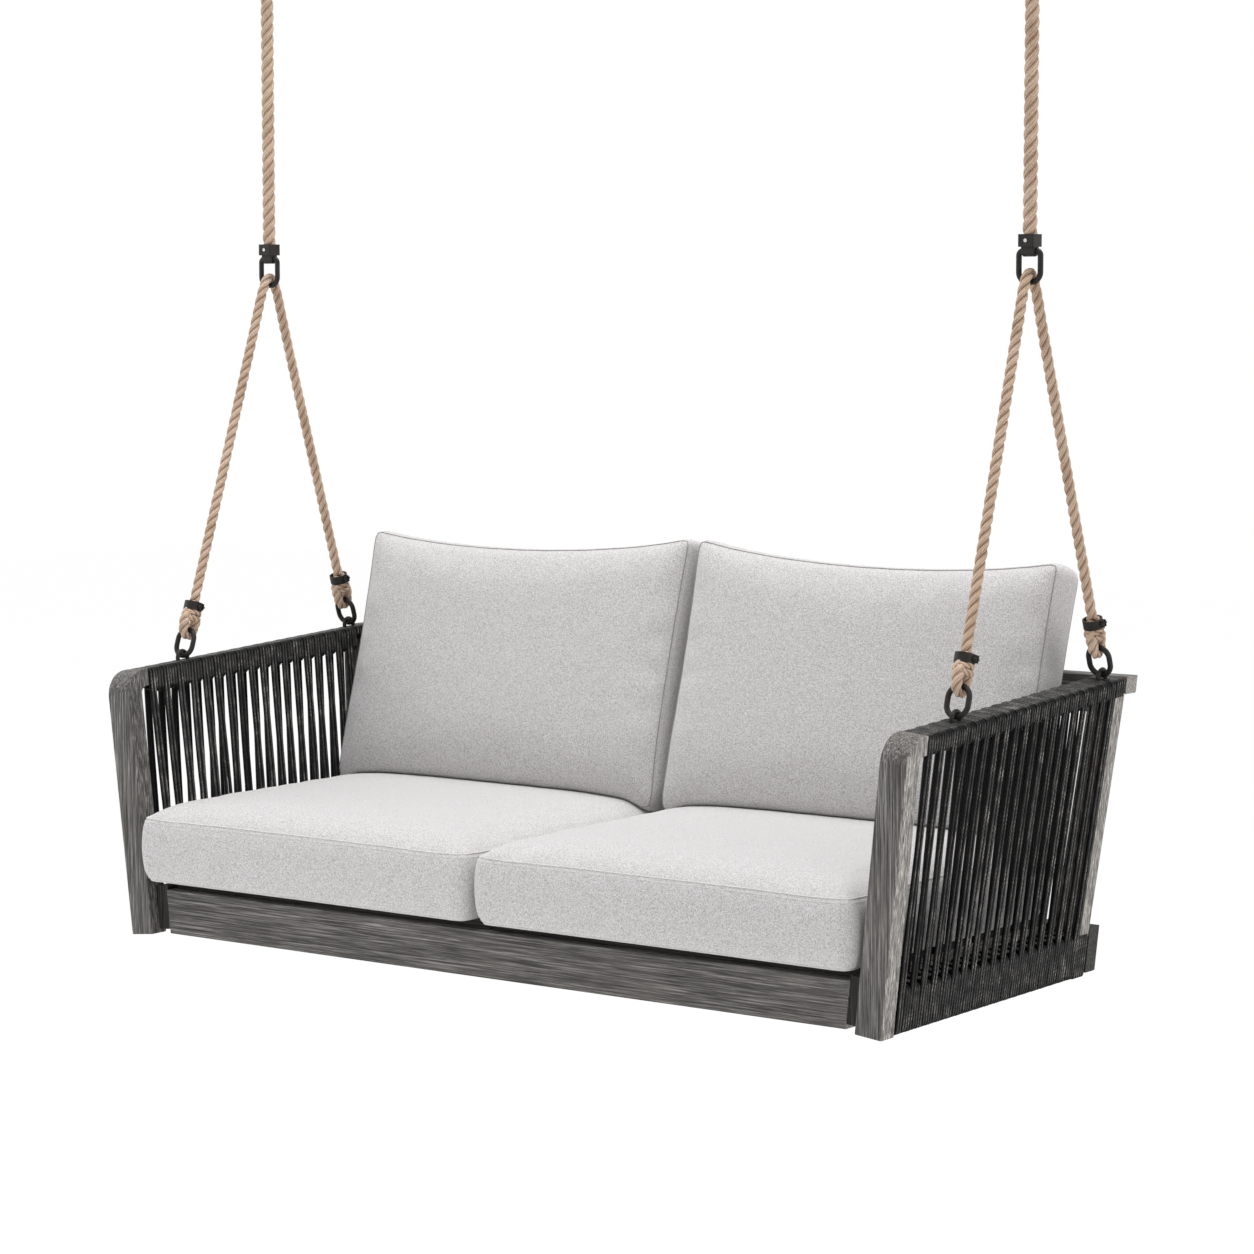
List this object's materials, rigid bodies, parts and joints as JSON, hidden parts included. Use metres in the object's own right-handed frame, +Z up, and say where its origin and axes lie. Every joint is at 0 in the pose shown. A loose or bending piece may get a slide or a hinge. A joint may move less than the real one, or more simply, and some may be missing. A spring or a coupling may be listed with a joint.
{
  "type": "porch swing",
  "caption": "Hanging porch swing bench on twisted ropes, with a weathered wood frame, cord-wound arms and back, and loose seat and back cushions.",
  "frame": {"origin": "ceiling plane, midway between the two ceiling plates, at the centre of their screw holes", "axes": "+Z up, +Y to the back of the seat, +X along the seat to a viewer's right"},
  "size_m": [1.466, 0.6532, 1.5648],
  "materials": {
    "weathered_wood": "weathered grey, open grain",
    "black_cord": "braided outdoor cord, matt",
    "hanging_rope": "three-strand twisted rope, matt",
    "dark_metal": "dark graphite powder coat",
    "steel": "zinc plated",
    "cushion_cloth": "woven outdoor cloth, heathered light grey"
  },
  "bodies": {
    "ceiling": {"ceiling_plate_left": "dark_metal", "ceiling_plate_right": "dark_metal"},
    "hangers": {"ceiling_link_left": "dark_metal", "ceiling_link_right": "dark_metal", "rope_clamp_top_left": "dark_metal", "rope_clamp_top_right": "dark_metal", "rope_clamp_bottom_left": "dark_metal", "rope_clamp_bottom_right": "dark_metal", "clamp_rivets_left": "steel", "clamp_rivets_right": "steel", "upper_rope_left": "hanging_rope", "upper_rope_right": "hanging_rope"},
    "bench": {"bridle_link_left": "dark_metal", "bridle_link_right": "dark_metal", "bridle_rope_left": "hanging_rope", "bridle_rope_right": "hanging_rope", "rope_knots_left": "hanging_rope", "rope_knots_right": "hanging_rope", "rope_collars_left": "dark_metal", "rope_collars_right": "dark_metal", "arm_rings_left": "dark_metal", "arm_rings_right": "dark_metal", "ring_staples_left": "dark_metal", "ring_staples_right": "dark_metal", "front_post_left": "weathered_wood", "front_post_right": "weathered_wood", "arm_rail_left": "weathered_wood", "arm_rail_right": "weathered_wood", "rear_post_left": "weathered_wood", "rear_post_right": "weathered_wood", "base_rail_left": "weathered_wood", "base_rail_right": "weathered_wood", "corner_block_left": "weathered_wood", "corner_block_right": "weathered_wood", "seat_slats_left": "weathered_wood", "seat_slats_right": "weathered_wood", "seat_batten_left": "weathered_wood", "seat_batten_right": "weathered_wood", "seat_cushion_left": "cushion_cloth", "seat_cushion_right": "cushion_cloth", "back_cushion_left": "cushion_cloth", "back_cushion_right": "cushion_cloth", "arm_winding_left": "black_cord", "arm_winding_right": "black_cord", "back_winding_left": "black_cord", "back_winding_right": "black_cord", "arm_rail_wraps_left": "black_cord", "arm_rail_wraps_right": "black_cord", "base_rail_wraps_left": "black_cord", "base_rail_wraps_right": "black_cord", "front_apron": "weathered_wood", "rear_apron": "weathered_wood", "back_top_rail": "weathered_wood", "back_upper_rail": "weathered_wood", "back_lower_rail": "weathered_wood", "back_centre_post": "weathered_wood", "seat_tie_beam": "weathered_wood", "frame_screws": "steel"}
  },
  "joints": [
    {"name": "swing", "type": "hinge", "parent": "ceiling", "child": "hangers", "pos_m": [0, 0, -0.022], "axis": [1, 0, 0], "range_deg": [-25, 25]},
    {"name": "seat_tilt", "type": "hinge", "parent": "hangers", "child": "bench", "pos_m": [0, 0, -0.514], "axis": [1, 0, 0], "range_deg": [-10, 10]}
  ]
}
